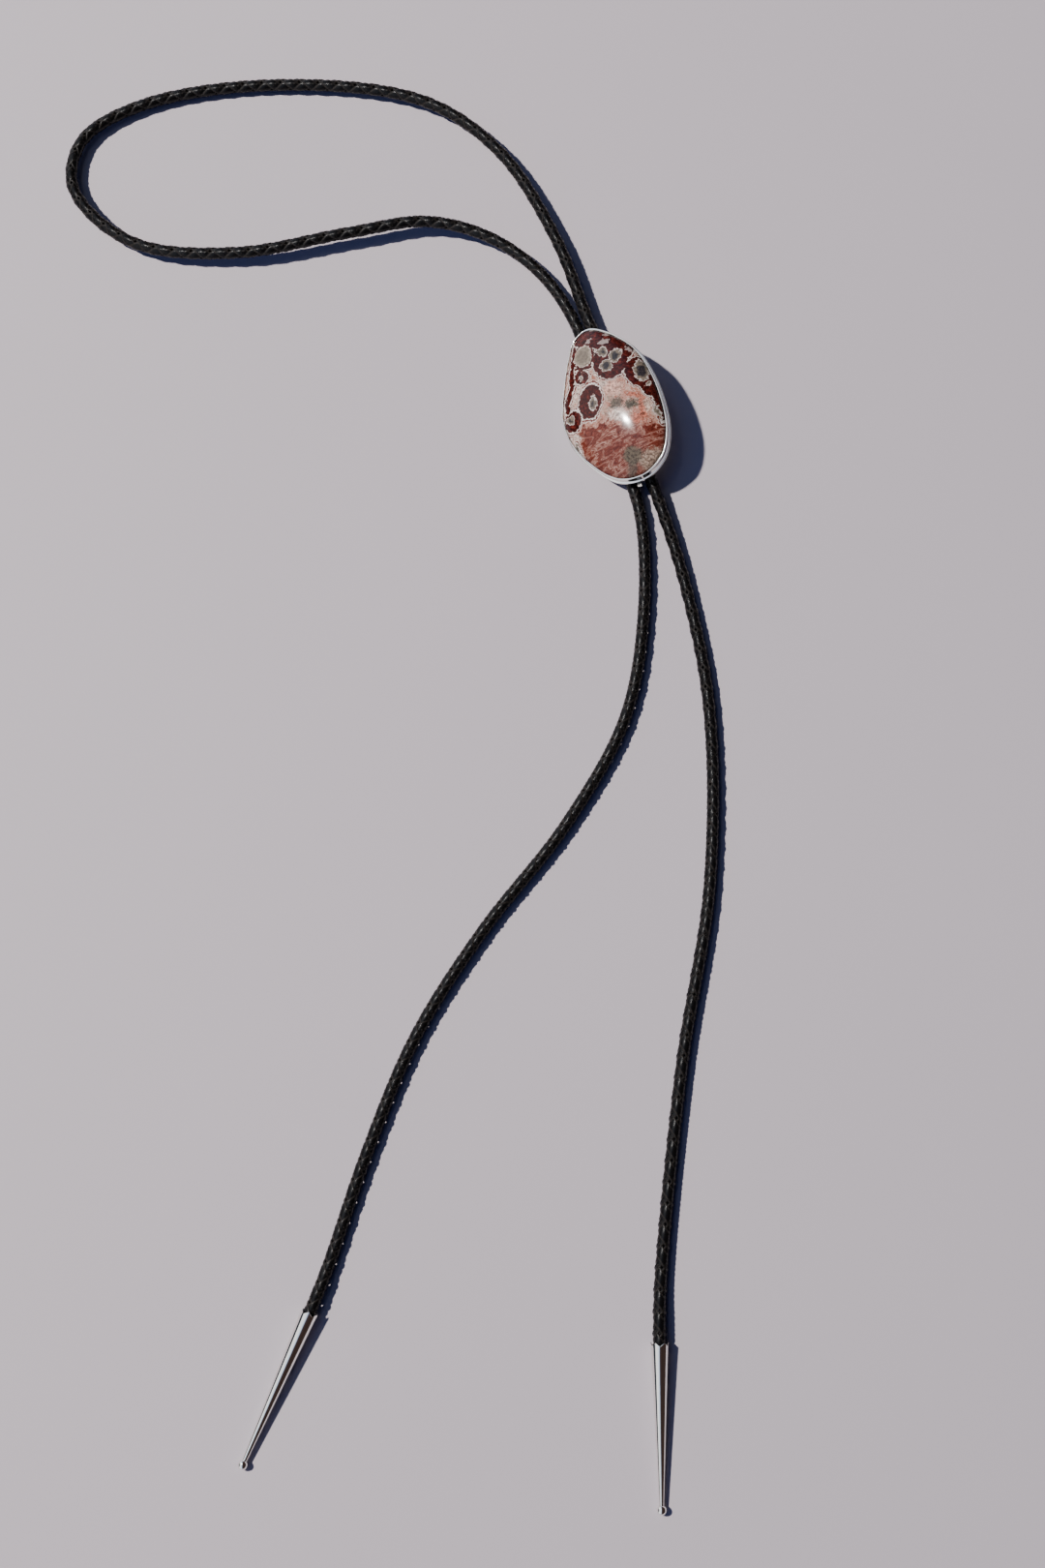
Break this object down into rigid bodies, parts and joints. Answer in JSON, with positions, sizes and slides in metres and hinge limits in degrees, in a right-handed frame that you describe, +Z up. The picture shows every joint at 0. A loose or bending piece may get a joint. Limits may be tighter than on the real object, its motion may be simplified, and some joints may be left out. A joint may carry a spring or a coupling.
{
  "type": "bolo tie",
  "caption": "Bolo tie: a braided leather cord through the clip of an egg-shaped stone slide in a bezel cup, with long cone tips that end in balls.",
  "frame": {"origin": "on the surface that the bolo tie lies on, under the middle of the bounding box of its slide (cup, stone and clip)", "axes": "+Z up, +Y along the slide's long axis towards the neck loop, +X to the right of the slide seen from above with the loop away from the viewer; the tips lie towards -Y"},
  "size_m": [0.221, 0.4737, 0.0165],
  "materials": {
    "silver": "polished silver with fine wear",
    "stone": "polished jasper with dark red orbs, cream and salmon swirls",
    "clip_metal": "plain plated sheet metal",
    "leather_cord": "round braid of black leather strands, slightly glossy"
  },
  "bodies": {
    "root": {"bezel_cup": "silver", "stone": "stone", "cord_clip": "clip_metal", "cord": "leather_cord", "tip_left": "silver", "tip_right": "silver"}
  },
  "joints": []
}
